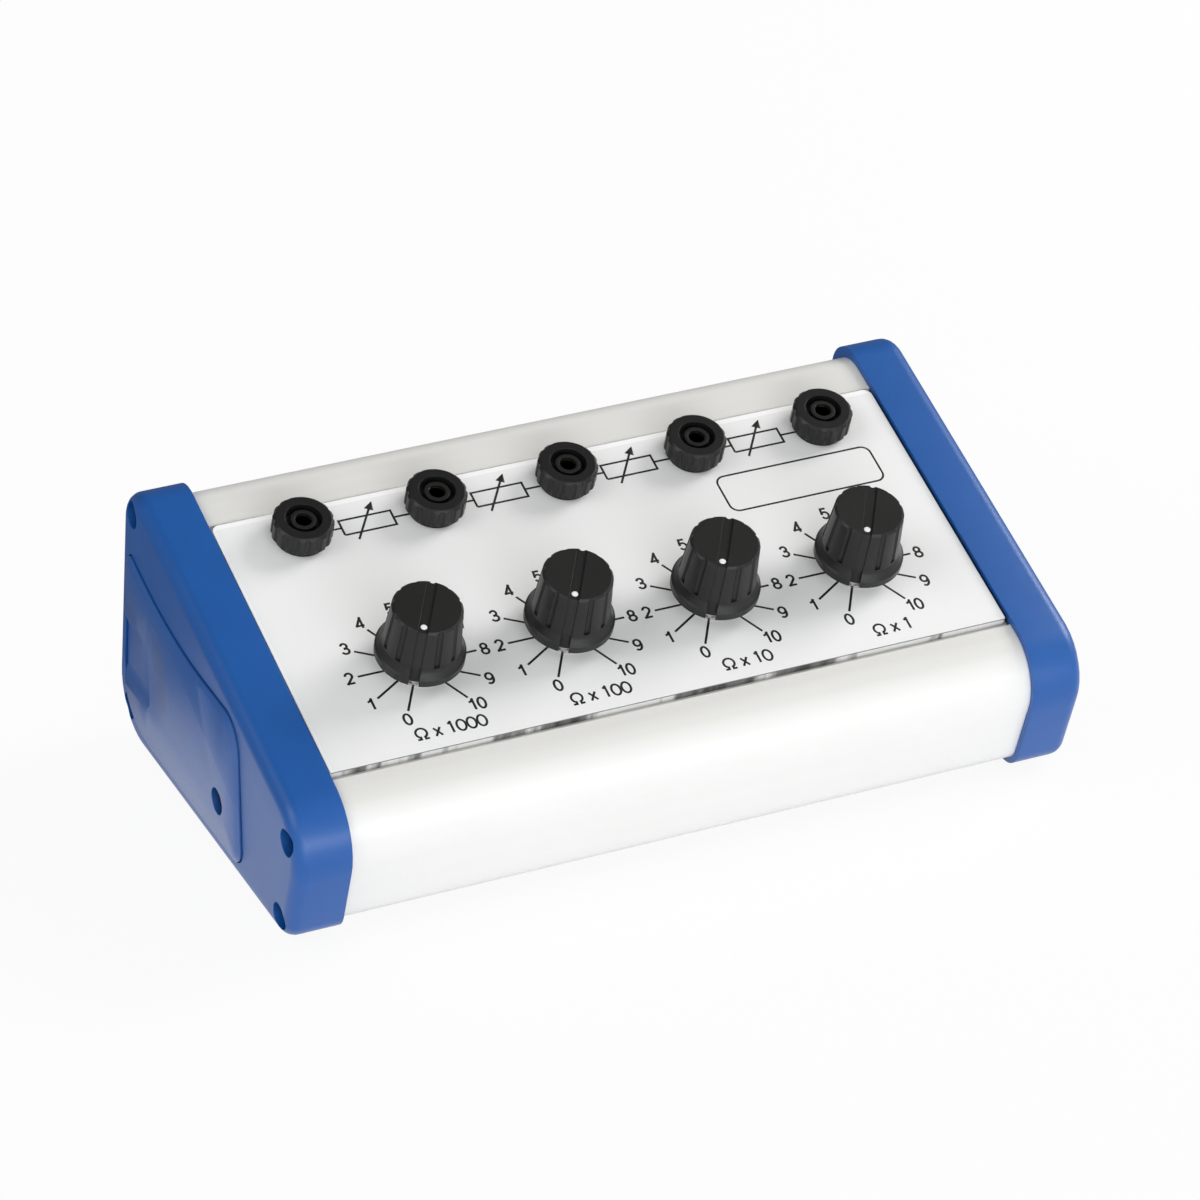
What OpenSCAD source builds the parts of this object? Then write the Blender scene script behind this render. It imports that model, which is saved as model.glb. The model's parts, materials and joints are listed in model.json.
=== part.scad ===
// Decade resistance box: a sloping white case between two blue end cheeks, with four rotary
// decades on its panel and a row of five screw terminals behind them. X runs along the box,
// Y to the rear and Z up. The origin is on the table, below the middle of the box.

/* [Case] */
// Overall length over both cheeks
overall_l = 198; // [180:1:220]
// Overall depth, front to rear
overall_d = 114.5; // [110:0.5:130]
// Height of the cheek's front top corner above its underside
front_h = 32.5; // [28:0.5:40]
// Slope of the panel, in degrees
slope = 20; // [12:1:24]
// Lean of the rear face, in degrees
rear_lean = 9.5; // [5:0.5:16]
// Wall thickness of the case
wall = 2; // [1.4:0.1:3]
// Radius of the cheek's front top corner
front_top_r = 14; // [9:0.5:16]
// Radius of the cheek's rear top corner
rear_top_r = 9; // [7.5:0.5:11]
// How much rounder the case is at its rear top than the cheek
rear_ease = 2; // [0:0.5:4]
// Radius of the cheek's rear bottom corner
rear_base_r = 14.5; // [9:0.5:16]
// Radius of the cheek's front bottom corner
front_base_r = 7; // [6.5:0.5:9]
// Width of the front ledge that carries the panel
ledge_w = 5; // [3:0.5:7]

/* [Cheeks] */
// Width of one cheek
cheek_w = 13.5; // [12:0.5:17]
// Thickness of the cheek's outer wall
cheek_wall = 4; // [3.5:0.25:5]
// Thickness of the cheek's rim, which seats on the end of the case
cheek_rim = 5; // [4.5:0.25:6]
// How far the rim stands proud of the case
rim_proud = 1.6; // [1:0.1:2]
// Fillet round the cheek's outer edge
cheek_fillet = 3.5; // [2:0.25:4]
// Distance of the cheek screws from the rim's outline
screw_edge = 5; // [4.8:0.1:6]
// Diameter of the cheek screws
screw_d = 3; // [2.5:0.1:3.5]
// Diameter of the screw heads
screw_head_d = 5.6; // [4.8:0.1:6]
// Depth of the screw heads' seat below the cheek's outer face
screw_sink = 6; // [4:0.5:7]

/* [Grip pads] */
// How far the pad stands proud of the cheek
pad_proud = 1.2; // [0.8:0.1:2]
// Depth of the pad's seat in the cheek
pad_seat = 1.5; // [1:0.1:2]
// Distance of the pad's front edge behind the case's front bottom corner
pad_front = 26; // [20:0.5:30]
// Height of the pad's front above the cheek's underside
pad_front_h = 43; // [36:0.5:45]
// Radius of the pad's hollow top edge
pad_sweep_r = 125; // [100:5:160]
// Distance from the pad's front to where its top edge starts to rise
pad_sweep_start = 20; // [15:1:25]
// Height of the pad's rear tip above its front
pad_tip_h = 9.5; // [8:0.5:12]
// Margin between the pad and the cheek's rear and bottom outline
pad_margin = 5; // [4:0.2:6]
// Width of the bevel round the pad
pad_bevel = 1.6; // [0.8:0.2:3]
// Length of the finger scoop, from the pad's rear edge
scoop_l = 26; // [18:1:30]
// Height of the finger scoop
scoop_h = 27; // [20:1:30]

/* [Panel] */
// Thickness of the panel
panel_t = 2; // [1.5:0.1:3]
// Length of the panel along the slope
panel_d = 76.7; // [74:0.1:80]
// Distance of the panel's front edge from the rim's front corner
panel_front = 18.7; // [17:0.1:22]
// Height of the rim's top above the panel's face
panel_sink = 1; // [0.6:0.1:1.5]
// Open groove before the panel
front_groove = 1.5; // [0.8:0.1:2]
// Clearance at the panel's rear edge and ends
panel_gap = 0.6; // [0.3:0.1:1]
// Radius of the panel's corners
panel_corner_r = 2; // [1:0.5:4]

/* [Dials] */
// Distance between neighbouring dials
dial_pitch = 37; // [34:0.5:38.5]
// Offset of the dials' middle from the middle of the box
dial_shift = 1.5; // [-2:0.1:2]
// Distance of the dials from the rim's front corner, along the slope
dial_row = 43.5; // [42:0.1:46]
// Height of the knob's top above the panel
knob_top = 19.4; // [18:0.2:22]
// Height of the skirt's underside above the panel
knob_gap = 3.5; // [3:0.1:4.5]
// Diameter of the knob's skirt
skirt_d = 21; // [20:0.1:24]
// Height of the skirt's rim
skirt_h = 2.8; // [2:0.1:3.5]
// Diameter of the knob's body above the skirt
knob_base_d = 18.2; // [17:0.1:19]
// Diameter of the knob's body at its top
knob_top_d = 16.4; // [15:0.1:17]
// Flutes round the knob, the pointer's channel among them
flutes = 12; // [8:1:16]
// Diameter of a flute
flute_d = 1.5; // [1.2:0.1:2.2]
// Depth of a flute
flute_depth = 0.6; // [0.4:0.05:0.7]
// Width of the pointer's channel
pointer_w = 2.4; // [2:0.1:3]
// Depth of the pointer's channel
pointer_depth = 0.45; // [0.3:0.05:0.8]
// Diameter of the switch's shaft
shaft_d = 6; // [5:0.1:6.4]

/* [Switches] */
// Diameter of the switch's housing
switch_d = 26; // [25:0.5:30]
// Depth of the switch's housing
switch_h = 11; // [10:0.5:14]
// Diameter of the switch's threaded bush
bush_d = 9.4; // [8.8:0.1:10]
// Height of the bush above the panel
bush_top = 6.2; // [5.2:0.1:6.6]
// Radius of the ring of contacts
contact_ring = 9.5; // [9:0.1:9.8]

/* [Terminals] */
// Distance between neighbouring terminals
terminal_pitch = 33.3; // [30:0.1:36]
// Offset of the terminals' middle from the middle of the box
terminal_shift = 0.9; // [-2:0.1:2]
// Distance of the terminals from the panel's rear edge
terminal_edge = 8.5; // [8:0.1:10]
// Diameter of the sockets
socket_d = 4; // [3.8:0.1:4.2]
// Depth of the sockets
socket_depth = 19; // [16:0.5:20]
// Diameter of the terminal caps
cap_d = 14.4; // [14:0.1:16]
// Height of the caps' top above the panel
cap_top = 6.5; // [6.3:0.1:7.5]
// Height of the caps' underside above the panel
cap_gap = 1.2; // [1.2:0.1:1.6]
// Diameter of the recess in a cap's top
cap_recess_d = 8.6; // [8:0.1:9.6]
// Scallops round a cap
scallops = 16; // [12:1:18]

/* [Circuit board] */
// Width of the board along the slope
board_d = 46; // [44:0.5:50]
// Thickness of the board
board_t = 1.6; // [1:0.1:2]

/* [Feet] */
// Diameter of the rubber feet
foot_d = 12; // [8:0.5:14]
// Height of the rubber feet
foot_h = 3.5; // [2.6:0.1:6]

/* [Hidden] */
$fn = 64;
run = 0.05;       // radial clearance of a running fit
seat = 0.3;       // clearance between pieces that move past each other
seam = 0.002;     // overlap of an outline's straights into its round corners
slack = 0.1;      // radial clearance of a hole in the panel
screw_slack = 0.2; // radial clearance of a screw's hole
hull_fn = 32;
dials = 4;
terminals = 5;
ways = 12;        // places round a switch
rest_turn = 150;  // a knob at rest points this far to the left of straight up the slope

// Side outline of the cheeks, in Y and Z: its corners run front bottom, rear bottom, rear top
// and front top.
case_l = overall_l - 2 * cheek_w;
rim_z = foot_h - rim_proud;
up_slope = [cos(slope), sin(slope)];
normal = [-sin(slope), cos(slope)];
front_top = [-overall_d / 2 + front_top_r * (1 - cos(slope) - sin(slope)), rim_z + front_h];
front_base = [front_top.x + front_h * tan(slope), rim_z];
rear_base = [overall_d / 2 - rear_base_r * (1 - 1 / cos(rear_lean) - tan(rear_lean)), rim_z];
rear_up = [-sin(rear_lean), cos(rear_lean)];
rear_top = front_top + up_slope * cross(rear_base - front_top, rear_up) / cross(up_slope, rear_up);
rim_corners = [front_base, rear_base, rear_top, front_top];
rim_radii = [front_base_r, rear_base_r, rear_top_r, front_top_r];
rim_centres = centres(rim_corners, rim_radii);
case_radii = rim_radii + [0, 0, rear_ease, 0];

// Panel frame: X along the box, Y up the slope, Z out of the panel's face, from the dials' row.
dial_point = front_top + up_slope * dial_row - normal * panel_sink;
lip_z = panel_sink - rim_proud;
panel_y0 = panel_front - dial_row;
panel_y1 = panel_y0 + panel_d;
panel_l = case_l - 2 * panel_gap;
panel_front_r = 0.5;
terminal_row = panel_y1 - terminal_edge;

// Pad outline on the cheek's outer face: front bottom, rear bottom, rear top, front top.
pad_base_z = rim_z + pad_margin;
pad_y0 = front_base.x + pad_front;
pad_rear = [rear_base.x - pad_margin / cos(rear_lean), rim_z];
pad_heel = pad_rear + rear_up * pad_margin / cos(rear_lean);
pad_tip = pad_rear + rear_up * (pad_front_h + pad_tip_h) / cos(rear_lean);
pad_brow = [pad_y0 + pad_sweep_start, rim_z + pad_front_h];
pad_sweep = [pad_brow.x, pad_brow.y + pad_sweep_r];
pad_crown = pad_rear + rear_up * pad_front_h / cos(rear_lean);
pad_front_corners = [[pad_y0, pad_base_z], pad_heel, pad_crown, [pad_y0, pad_brow.y]];
pad_corner_r = 4.5;
pad_heel_r = 15;
pad_brow_r = 8;
pad_front_radii = [pad_corner_r, pad_heel_r, pad_corner_r, pad_brow_r];
pad_rear_corners = [[pad_brow.x, pad_base_z], pad_heel, pad_tip, [pad_brow.x, pad_tip.y]];
pad_rear_radii = [pad_corner_r, pad_heel_r, pad_corner_r, pad_corner_r];
pad_gap = 0.3;
pad_screw_y = 12.2;
pad_screw_z = 16.5;
pad_screw_l = 6;
pad_boss_h = 2.4;
pad_boss_floor = 1;
pad_screw = [pad_y0 + pad_screw_y, rim_z + pad_screw_z];
pad_x = overall_l / 2 - pad_seat;
pad_t = pad_seat + pad_proud;
pad_screw_x = pad_x - pad_boss_h + pad_boss_floor;
pad_edge = 0.4;   // upright edge of the pad above the cheek's face
scoop_r = 9;
scoop_sink = 0.6;
scoop_rise = 7;
scoop_z = pad_base_z + scoop_rise;

screw_r = screw_d / 2;
screw_head_r = screw_head_d / 2;
screw_hole_r = screw_head_r + 0.5;
screw_head_h = 2.4;
screw_key_r = screw_r * 0.9;
screw_key_h = 1.3;
screw_bite = 9;   // length of a cheek screw inside the case
boss_wall = 2;
boss_r = screw_r + boss_wall;
post_r = screw_hole_r + boss_wall;
pad_boss_r = screw_hole_r + 1.2;
pad_post_r = pad_boss_r + pad_gap + boss_wall;
pad_post_gap = 2;
foot_inset = 4;
foot_ease = 0.8;
foot_ease_h = 1;

shaft_r = shaft_d / 2;
bush_r = bush_d / 2;
housing_wall = 2;
housing_back = 1.5;
housing_z = -panel_t - switch_h;
cavity_z = housing_z + housing_back;
cavity_top = -panel_t - housing_wall;
bush_flange_h = 1.2;
bush_flange_r = bush_r + 2;
switch_washer_r = bush_r + 2.3;
switch_washer_h = 0.6;
switch_nut_r = bush_r * 1.5;
switch_nut_h = 2.2;
pin_r = 0.5;
pin_head_r = 1.1;
pin_head_h = 0.7;
pivot_r = 1.5;
rotor_r = 7;
rotor_h = 2.4;
rotor_z = cavity_top - bush_flange_h - seat - rotor_h;
shaft_sink = 2.5;  // depth of the shaft's end below the knob's top
flat_depth = shaft_r / 2;
board_drop = 3;
board_z = housing_z - board_drop - board_t;
board_margin = 6;
board_l = (dials - 1) * dial_pitch + switch_d + 2 * board_margin;

socket_r = socket_d / 2;
stem_r = socket_r + 1;
tube_r = socket_r + 0.5;
sleeve_r = tube_r + 0.5;
sleeve_top = cap_top - 0.5;
sleeve_lip = 0.8;
tube_top = sleeve_top - sleeve_lip - run;
collar_h = 0.9;
collar_r = cap_d / 2 - 1;
rear_ledge = terminal_edge - collar_r - seat;
spigot_r = stem_r + 1;
cap_wall = 1.4;
cap_web = 1.4;
ring_r = cap_d / 2 - cap_wall - seat;
ring_h = 0.8;
ring_z = collar_h + seat;
cap_floor = ring_z + ring_h + seat + cap_web;
scallop_r = 0.9;
scallop_depth = 0.45;
washer_h = 1;
nut_r = stem_r * 1.9;
nut_h = 2.5;
tag_h = 0.6;
tag_w = 3;
tag_ring_r = stem_r + 1.6;
tag_z = -panel_t - washer_h - nut_h - tag_h;
stem_end = -14.5;
tag_reach = 9;
wire_r = 0.6;
wire_edge = 2;    // distance of the wires' holes from the board's rear edge

lead_r = 0.35;
lead_span = 11;
lead_end = 0.6;
resistor_r = 1.3;
resistor_l = 6.4;
resistor_end = 1.6;
resistor_waist = 0.2;
resistor_pitch = 5.4;
resistor_row = (contact_ring + 1.5 + board_d / 2) / 2;
per_row = 5;

// Centre of the rounding circle of each corner of a closed outline.
function ring_at(list, i) = list[(i + len(list)) % len(list)];
function unit(v) = v / norm(v);
function outward(p, q) = let (d = unit(q - p)) [d.y, -d.x];
function before(pts, i) = outward(ring_at(pts, i - 1), pts[i]);
function after(pts, i) = outward(pts[i], ring_at(pts, i + 1));
function centres(pts, radii) = [for (i = [0:len(pts) - 1])
    let (a = before(pts, i), b = after(pts, i)) pts[i] - radii[i] * (a + b) / (1 + a * b)];

// Outline with true round corners, drawn in by an inset that leaves the corners' centres.
module rounded_outline(pts, radii, inset = 0) {
    mids = centres(pts, radii);
    polygon([for (i = [0:len(pts) - 1]) each [
        mids[i] + before(pts, i) * (radii[i] - inset - seam),
        mids[i] + after(pts, i) * (radii[i] - inset - seam)]]);
    for (i = [0:len(pts) - 1])
        translate(mids[i]) circle(radii[i] - inset);
}

module rim_outline(inset = 0) rounded_outline(rim_corners, rim_radii, inset);
module case_outline(inset = 0) rounded_outline(rim_corners, case_radii, rim_proud + inset);

// Y-Z outline swept along X, from x0 over a length.
module along_x(x0, l) translate([x0, 0, 0]) rotate([90, 0, 90]) linear_extrude(l) children();

// Children at a point of the Y-Z plane with their own Z along X.
module facing_x(x, p) translate([x, p.x, p.y]) rotate([0, 90, 0]) children();

module on_panel(x = 0, y = 0, z = 0)
    translate([0, dial_point.x, dial_point.y]) rotate([slope, 0, 0]) translate([x, y, z]) children();

module panel_section() translate(dial_point) rotate(slope) children();

module tube(r, bore, h, z = 0)
    translate([0, 0, z]) difference() {
        cylinder(r = r, h = h);
        translate([0, 0, -1]) cylinder(r = bore, h = h + 2);
    }

module hex_nut(r, bore, h, z)
    translate([0, 0, z]) difference() {
        cylinder(r = r, h = h, $fn = 6);
        translate([0, 0, -1]) cylinder(r = bore, h = h + 2);
    }

module rod(p, q, r) {
    d = q - p;
    translate(p) rotate([0, acos(d.z / norm(d)), atan2(d.y, d.x)]) cylinder(r = r, h = norm(d));
}

function dial_x(i) = dial_shift + (i - (dials + 1) / 2) * dial_pitch;
function terminal_x(i) = terminal_shift + (i - (terminals + 1) / 2) * terminal_pitch;
module at_dial(i) on_panel(dial_x(i)) children();
module at_dials() for (i = [1:dials]) at_dial(i) children();
module at_terminal(i) on_panel(terminal_x(i), terminal_row) children();
module at_terminals() for (i = [1:terminals]) at_terminal(i) children();

// The cheek screws lie towards each corner from the centre of its rounding.
function screw_point(i) = rim_centres[i]
    + unit(rim_corners[i] - rim_centres[i]) * (rim_radii[i] - screw_edge);
screw_points = [for (i = [0:3]) screw_point(i)];

// White aluminium extrusion, open at the top between two ledges, with a screw channel in
// each corner.
module case_section() {
    groove_y = panel_y0 - front_groove;
    ledge_top = -panel_t;
    difference() {
        union() {
            difference() {
                case_outline();
                case_outline(wall);
            }
            intersection() {
                case_outline();
                union() {
                    panel_section() {
                        translate([groove_y - wall, ledge_top - wall])
                            square([front_groove + wall + ledge_w, wall]);
                        translate([panel_y1 - rear_ledge, ledge_top - wall])
                            square([rear_ledge + panel_gap + wall, wall]);
                    }
                    for (p = screw_points)
                        translate(p) circle(boss_r);
                }
            }
        }
        panel_section() translate([groove_y, ledge_top])
            square([panel_y1 + panel_gap - groove_y, panel_t + 2 * rim_proud]);
        panel_section() translate([panel_y0 + ledge_w, ledge_top - wall - 1])
            square([panel_d - ledge_w - rear_ledge, wall + 2]);
        for (p = screw_points)
            translate(p) circle(screw_r + run);
    }
}

module case_shell() color("white") along_x(-case_l / 2, case_l) case_section();

// Clear plate, printed white behind, drilled for the switches and the terminals.
module top_panel() color("whitesmoke") difference() {
    on_panel(0, 0, -panel_t) linear_extrude(panel_t) rounded_outline(
        [[-panel_l / 2, panel_y0], [panel_l / 2, panel_y0],
         [panel_l / 2, panel_y1], [-panel_l / 2, panel_y1]],
        [panel_front_r, panel_front_r, panel_corner_r, panel_corner_r]);
    at_dials() translate([0, 0, -panel_t - 1]) cylinder(r = bush_r + slack, h = panel_t + 2);
    at_terminals() translate([0, 0, -panel_t - 1]) cylinder(r = spigot_r + slack, h = panel_t + 2);
}

// Disc with one rounded rim, which makes a corner of the cheek.
module rounded_puck(r, h, fillet) rotate_extrude($fn = hull_fn) {
    square([r - fillet, h]);
    square([r, h - fillet]);
    translate([r - fillet, h - fillet]) circle(fillet, $fn = hull_fn);
}

// The pad's outline: a low front and a rear that rises along a hollow sweep.
module pad_front_outline(inset = 0) rounded_outline(pad_front_corners, pad_front_radii, inset);
module pad_rear_outline(inset = 0) rounded_outline(pad_rear_corners, pad_rear_radii, inset);
module pad_outline(inset = 0) {
    pad_front_outline(inset);
    difference() {
        pad_rear_outline(inset);
        translate(pad_sweep) circle(pad_sweep_r + inset);
    }
}

// Moulded right cheek: a filleted cap, hollow behind, with a post for each screw.
module cheek() color("royalblue") difference() {
    hull() for (i = [0:3])
        facing_x(case_l / 2, rim_centres[i]) rounded_puck(rim_radii[i], cheek_w, cheek_fillet);
    difference() {
        along_x(case_l / 2 - 1, cheek_w - cheek_wall + 1) rim_outline(cheek_rim);
        for (p = screw_points)
            facing_x(case_l / 2 - 2, p) cylinder(r = post_r, h = cheek_w);
        facing_x(case_l / 2 + pad_post_gap, pad_screw) cylinder(r = pad_post_r, h = cheek_w);
    }
    for (p = screw_points) {
        facing_x(overall_l / 2 - screw_sink, p) cylinder(r = screw_hole_r, h = screw_sink + 1);
        facing_x(case_l / 2 - 1, p) cylinder(r = screw_r + screw_slack, h = cheek_w);
    }
    along_x(pad_x, pad_seat + 1) pad_outline(-pad_gap);
    facing_x(pad_x - pad_boss_h - pad_gap, pad_screw) cylinder(r = pad_boss_r + pad_gap, h = cheek_w);
    facing_x(case_l / 2 + pad_post_gap + 1, pad_screw) cylinder(r = screw_r + run, h = cheek_w);
}

module right_cheek() cheek();
module left_cheek() mirror([1, 0, 0]) cheek();

// Right grip pad: a bevelled plate with a finger scoop at its rear and a cup for its screw.
module grip_pad() color("royalblue") {
    brim = pad_seat + pad_edge;
    difference() {
        hull() {
            along_x(pad_x, brim) pad_front_outline($fn = hull_fn);
            along_x(pad_x, pad_t) pad_front_outline(pad_bevel, $fn = hull_fn);
        }
        pad_cuts();
    }
    difference() {
        hull() {
            along_x(pad_x, brim) pad_rear_outline($fn = hull_fn);
            along_x(pad_x, pad_t) pad_rear_outline(pad_bevel, $fn = hull_fn);
        }
        facing_x(pad_x - 1, pad_sweep) cylinder(r = pad_sweep_r, h = pad_t + 2, $fn = 360);
        facing_x(pad_x + brim, pad_sweep)
            cylinder(r1 = pad_sweep_r, r2 = pad_sweep_r + pad_bevel, h = pad_t - brim, $fn = 360);
        pad_cuts();
    }
    difference() {
        facing_x(pad_x - pad_boss_h, pad_screw) cylinder(r = pad_boss_r, h = pad_boss_h + pad_seat);
        pad_cuts();
    }
}

// The pad's finger scoop and its screw hole.
module pad_cuts() {
    hull()
        for (y = [pad_heel.x - scoop_l + scoop_r, pad_rear.x + scoop_r],
             z = [scoop_r, scoop_h - scoop_r])
            translate([overall_l / 2 + scoop_r - scoop_sink, y, scoop_z + z])
                sphere(scoop_r, $fn = 24);
    facing_x(pad_screw_x - pad_t, pad_screw) cylinder(r = screw_r + screw_slack, h = 2 * pad_t);
    facing_x(pad_screw_x, pad_screw) cylinder(r = screw_hole_r, h = pad_boss_h + pad_t);
}

module right_grip_pad() grip_pad();
module left_grip_pad() mirror([1, 0, 0]) grip_pad();

// Socket-head screw along X, its head's underside at x and its point towards the box.
module screw(x, p, l) facing_x(x, p) difference() {
    union() {
        translate([0, 0, -l]) cylinder(r = screw_r, h = l);
        cylinder(r = screw_head_r, h = screw_head_h);
    }
    translate([0, 0, screw_head_h - screw_key_h]) cylinder(r = screw_key_r, h = screw_key_h + 1, $fn = 6);
}

module both_ends() {
    children();
    mirror([1, 0, 0]) children();
}

module cheek_screws() color("dimgray") both_ends() for (p = screw_points)
    screw(overall_l / 2 - screw_sink, p, cheek_w - screw_sink + screw_bite);

module grip_pad_screws() color("dimgray") both_ends()
    screw(pad_screw_x, pad_screw, pad_screw_l);

module rubber_feet() color("black") both_ends()
    for (y = [rim_centres[0].x + foot_d, rim_centres[1].x - foot_d / 2])
        translate([case_l / 2 - foot_d - foot_inset, y, 0]) {
            cylinder(r1 = foot_d / 2 - foot_ease, r2 = foot_d / 2, h = foot_ease_h);
            translate([0, 0, foot_ease_h]) cylinder(r = foot_d / 2, h = foot_h - foot_ease_h);
        }

// Brass post with the plug socket bored into it; its upper end is turned down for the sleeve.
module terminal_stems() color("goldenrod") at_terminals() difference() {
    union() {
        translate([0, 0, stem_end]) cylinder(r = stem_r, h = collar_h - stem_end);
        translate([0, 0, stem_end]) cylinder(r = tube_r, h = tube_top - stem_end);
    }
    translate([0, 0, sleeve_top - socket_depth]) cylinder(r = socket_r, h = socket_depth + 1);
}

// Insulating sleeve, with a lip over the end of the post.
module terminal_sleeves() color("black") at_terminals() difference() {
    translate([0, 0, collar_h]) cylinder(r = sleeve_r, h = sleeve_top - collar_h);
    cylinder(r = tube_r + run, h = tube_top + run);
    cylinder(r = socket_r, h = sleeve_top + 1);
}

// Insulating collar: a flange on the panel and a spigot through it.
module terminal_collars() color("black") at_terminals() {
    difference() {
        union() {
            cylinder(r = collar_r, h = collar_h);
            translate([0, 0, -panel_t]) cylinder(r = spigot_r, h = panel_t + collar_h);
        }
        translate([0, 0, -panel_t - 1]) cylinder(r = stem_r + run, h = panel_t + collar_h + 2);
    }
}

module terminal_washers() color("sienna") at_terminals()
    tube(collar_r, stem_r + run, washer_h, -panel_t - washer_h);

module terminal_nuts() color("silver") at_terminals()
    for (z = [-panel_t - washer_h - nut_h, tag_z - nut_h])
        hex_nut(nut_r, stem_r + run, nut_h, z);

// Solder tag: a ring under the nut with a pierced tongue towards the board.
module terminal_tags() color("silver") at_terminals() translate([0, 0, tag_z]) difference() {
    union() {
        cylinder(r = tag_ring_r, h = tag_h);
        translate([-tag_w / 2, -tag_reach, 0]) cube([tag_w, tag_reach, tag_h]);
        translate([0, -tag_reach, 0]) cylinder(r = tag_w / 2, h = tag_h);
    }
    translate([0, 0, -1]) cylinder(r = stem_r + run, h = tag_h + 2);
    translate([0, -tag_reach, -1]) cylinder(r = wire_r + run, h = tag_h + 2);
}

// Clamp ring under a cap: it keeps from turning and rises with the cap.
module clamp_ring(i) color("silver") at_terminal(i)
    tube(ring_r, sleeve_r + run, ring_h, ring_z);

// Screw cap with a scalloped rim, a recess for a shrouded plug and a pocket for its ring.
module terminal_cap(i) color("black") at_terminal(i) difference() {
    cap_r = cap_d / 2;
    h = cap_top - cap_gap;
    foot_chamfer = 0.4;
    top_chamfer = 0.7;
    translate([0, 0, cap_gap]) rotate_extrude() polygon([
        [0, 0], [cap_r - foot_chamfer, 0], [cap_r, foot_chamfer], [cap_r, h - top_chamfer],
        [cap_r - top_chamfer, h], [0, h]]);
    translate([0, 0, cap_gap - 1]) cylinder(r = ring_r + seat, h = ring_z + ring_h + seat - cap_gap + 1);
    cylinder(r = sleeve_r + run, h = cap_top);
    translate([0, 0, cap_floor]) cylinder(r = cap_recess_d / 2, h = cap_top);
    for (k = [1:scallops])
        rotate((k + 0.5) * 360 / scallops) translate([cap_r + scallop_r - scallop_depth, 0, cap_gap - 1])
            cylinder(r = scallop_r, h = cap_top + 2);
}

// Rotary switch housing, hollow for the rotor, with a hole for each contact pin.
module switch_housings() color("darkslategray") at_dials() difference() {
    translate([0, 0, housing_z]) cylinder(r = switch_d / 2, h = switch_h);
    translate([0, 0, cavity_z]) cylinder(r = switch_d / 2 - housing_wall, h = cavity_top - cavity_z);
    translate([0, 0, cavity_top - 1]) cylinder(r = bush_r + run, h = housing_wall + 2);
    translate([0, 0, housing_z - 1]) cylinder(r = pivot_r + run, h = housing_back + 2);
    contact_places() translate([0, 0, housing_z - 1]) cylinder(r = pin_r + run, h = housing_back + 2);
}

module contact_places() for (k = [1:ways])
    rotate(k * 360 / ways) translate([0, contact_ring, 0]) children();

module switch_bushes() color("silver") at_dials() difference() {
    union() {
        translate([0, 0, cavity_top]) cylinder(r = bush_r, h = bush_top - cavity_top);
        translate([0, 0, cavity_top - bush_flange_h]) cylinder(r = bush_flange_r, h = bush_flange_h);
    }
    translate([0, 0, cavity_top - bush_flange_h - 1])
        cylinder(r = shaft_r + run, h = bush_top - cavity_top + bush_flange_h + 2);
}

module switch_washers() color("silver") at_dials()
    tube(switch_washer_r, bush_r + run, switch_washer_h);

module switch_nuts() color("silver") at_dials()
    hex_nut(switch_nut_r, bush_r + run, switch_nut_h, switch_washer_h);

// Contact pins: a flat head inside the housing and a tail through the board.
module switch_contacts() color("gold") at_dials() contact_places() {
    translate([0, 0, cavity_z]) cylinder(r = pin_head_r, h = pin_head_h);
    translate([0, 0, board_z - 1]) cylinder(r = pin_r, h = cavity_z - board_z + 1);
}

// Turned shaft with a flat for the knob and a pivot at its lower end.
module switch_shaft(i) color("silver") at_dial(i) {
    flat_z = bush_top + 1.5;
    translate([0, 0, housing_z]) cylinder(r = pivot_r, h = rotor_z - housing_z);
    difference() {
        translate([0, 0, rotor_z]) cylinder(r = shaft_r, h = knob_top - shaft_sink - rotor_z);
        rotate(rest_turn) translate([-shaft_r, -shaft_r - 1, flat_z])
            cube([shaft_d, 1 + flat_depth, knob_top]);
    }
}

module switch_rotor(i) color("ivory") at_dial(i) tube(rotor_r, shaft_r + run, rotor_h, rotor_z);

// Spring wiper under the rotor, reaching out over the ring of contacts.
module switch_wiper(i) color("gold") at_dial(i) rotate(rest_turn) {
    wiper_t = 0.4;
    wiper_r = 1;
    wiper_z = rotor_z - wiper_t;
    tip_z = cavity_z + pin_head_h + seat;
    difference() {
        union() {
            translate([0, 0, wiper_z]) cylinder(r = rotor_r - 2 * wiper_r, h = wiper_t);
            translate([-wiper_r, 0, wiper_z]) cube([2 * wiper_r, contact_ring, wiper_t]);
            translate([0, contact_ring, tip_z]) cylinder(r = wiper_r, h = rotor_z - tip_z);
        }
        translate([0, 0, wiper_z - 1]) cylinder(r = pivot_r + run, h = wiper_t + 2);
    }
}

// Knob on a skirt. Its profile is turned, narrow flutes leave broad lands between them, and the
// pointer's channel runs over the top and down the front, where it slits the skirt.
knob_h = knob_top - knob_gap;
knob_edge = 0.5;
skirt_slope_h = 1;
knob_foot_z = skirt_h + skirt_slope_h + knob_edge;

module knob_profile() {
    skirt_r = skirt_d / 2;
    base_r = knob_base_d / 2;
    top_r = knob_top_d / 2;
    polygon([[0, 0], [skirt_r - knob_edge, 0], [skirt_r, knob_edge], [skirt_r, skirt_h - knob_edge],
        [skirt_r - knob_edge, skirt_h], [base_r + knob_edge / 2, skirt_h + skirt_slope_h],
        [base_r, knob_foot_z], [top_r, knob_h - knob_edge], [top_r - knob_edge, knob_h], [0, knob_h]]);
}

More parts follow.
